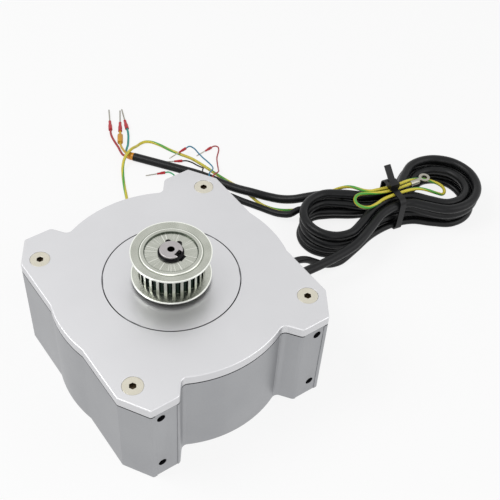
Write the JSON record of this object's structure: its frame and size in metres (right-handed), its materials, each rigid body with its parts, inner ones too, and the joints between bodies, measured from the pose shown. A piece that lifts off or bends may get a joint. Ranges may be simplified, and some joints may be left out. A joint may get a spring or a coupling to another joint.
{
  "type": "elevator door motor",
  "caption": "Flat gearless door motor with a toothed belt pulley, four corner bosses and two cables tied in a hank.",
  "frame": {"origin": "centre of the back face, on the shaft's axis", "axes": "+Z along the shaft towards the pulley, -Y out of the screw face with the tapped holes, +X towards the cable outlets"},
  "size_m": [0.3419, 0.3138, 0.0944],
  "materials": {
    "case_aluminium": "cast and blasted, satin",
    "cover_aluminium": "fine blasted",
    "zinc_steel": "zinc plated",
    "shaft_steel": "turned and ground",
    "bearing_steel": "ground and polished",
    "core_steel": "stamped electrical steel",
    "magnet": "nickel plated",
    "copper_winding": "enamelled copper wire",
    "bobbin_nylon": "moulded nylon",
    "black_steel": "black oxide",
    "black_rubber": "moulded rubber",
    "board_green": "circuit board",
    "black_epoxy": "moulded epoxy",
    "brass": "turned",
    "tinned_lug": "tinned",
    "black_pvc": "soft PVC jacket",
    "earth_pvc": "soft PVC, yellow with a green stripe",
    "red_pvc": "soft PVC",
    "yellow_pvc": "soft PVC",
    "teal_pvc": "soft PVC",
    "blue_pvc": "soft PVC",
    "green_pvc": "soft PVC",
    "orange_sleeve": "soft sleeve",
    "marker_pvc": "marker tube without print",
    "ferrule_red": "red ferrule collar on a tinned pin",
    "tie_nylon": "black nylon"
  },
  "bodies": {
    "motor_case": {"housing": "case_aluminium", "front_cover": "cover_aluminium", "centre_disc": "cover_aluminium", "disc_screws": "black_steel", "cover_screws": "zinc_steel", "shaft_seal": "black_rubber", "front_bearing_outer": "bearing_steel", "rear_bearing_outer": "bearing_steel", "wave_spring": "shaft_steel", "stator_core": "core_steel", "coil_bobbins": "bobbin_nylon", "stator_windings": "copper_winding", "encoder_board": "board_green", "encoder_chips": "black_epoxy", "board_screws": "zinc_steel", "encoder_cover": "case_aluminium", "encoder_cover_screws": "zinc_steel", "power_gland": "black_rubber", "encoder_gland": "black_rubber", "earth_screw": "zinc_steel", "earth_terminal": "tinned_lug", "power_lead": "black_pvc", "power_hank": "black_pvc", "power_tail": "black_pvc", "encoder_lead": "black_pvc", "encoder_hank": "black_pvc", "encoder_tail": "black_pvc", "earth_lead": "earth_pvc", "earth_hank": "earth_pvc", "earth_end_terminal": "tinned_lug", "hank_tie": "tie_nylon", "core_red": "red_pvc", "core_yellow": "yellow_pvc", "core_teal": "teal_pvc", "core_sleeve": "orange_sleeve", "core_marker": "marker_pvc", "power_ferrules": "ferrule_red", "wire_blue": "blue_pvc", "wire_red": "red_pvc", "wire_black": "black_pvc", "wire_green": "green_pvc", "encoder_ferrules": "ferrule_red"},
    "rotor": {"shaft": "shaft_steel", "front_bearing_inner": "bearing_steel", "rear_bearing_inner": "bearing_steel", "rotor_core": "core_steel", "rotor_magnets": "magnet", "distance_sleeve": "shaft_steel", "pulley_key": "black_steel", "pulley": "zinc_steel", "pulley_flange_lower": "zinc_steel", "pulley_flange_upper": "zinc_steel", "shaft_circlip": "black_steel", "magnet_holder": "brass", "encoder_magnet": "magnet"},
    "front_cage": {"front_bearing_balls": "bearing_steel"},
    "rear_cage": {"rear_bearing_balls": "bearing_steel"}
  },
  "joints": [
    {"name": "shaft_spin", "type": "hinge", "parent": "motor_case", "child": "rotor", "pos_m": [0, 0, 0], "axis": [0, 0, 1], "continuous": true},
    {"name": "front_cage_spin", "type": "hinge", "parent": "motor_case", "child": "front_cage", "pos_m": [0, 0, 0], "axis": [0, 0, 1], "continuous": true},
    {"name": "rear_cage_spin", "type": "hinge", "parent": "motor_case", "child": "rear_cage", "pos_m": [0, 0, 0], "axis": [0, 0, 1], "continuous": true}
  ],
  "couplings": [
    {"joint": "front_cage_spin", "follows": "shaft_spin", "ratio": 0.382},
    {"joint": "rear_cage_spin", "follows": "shaft_spin", "ratio": 0.3979}
  ]
}
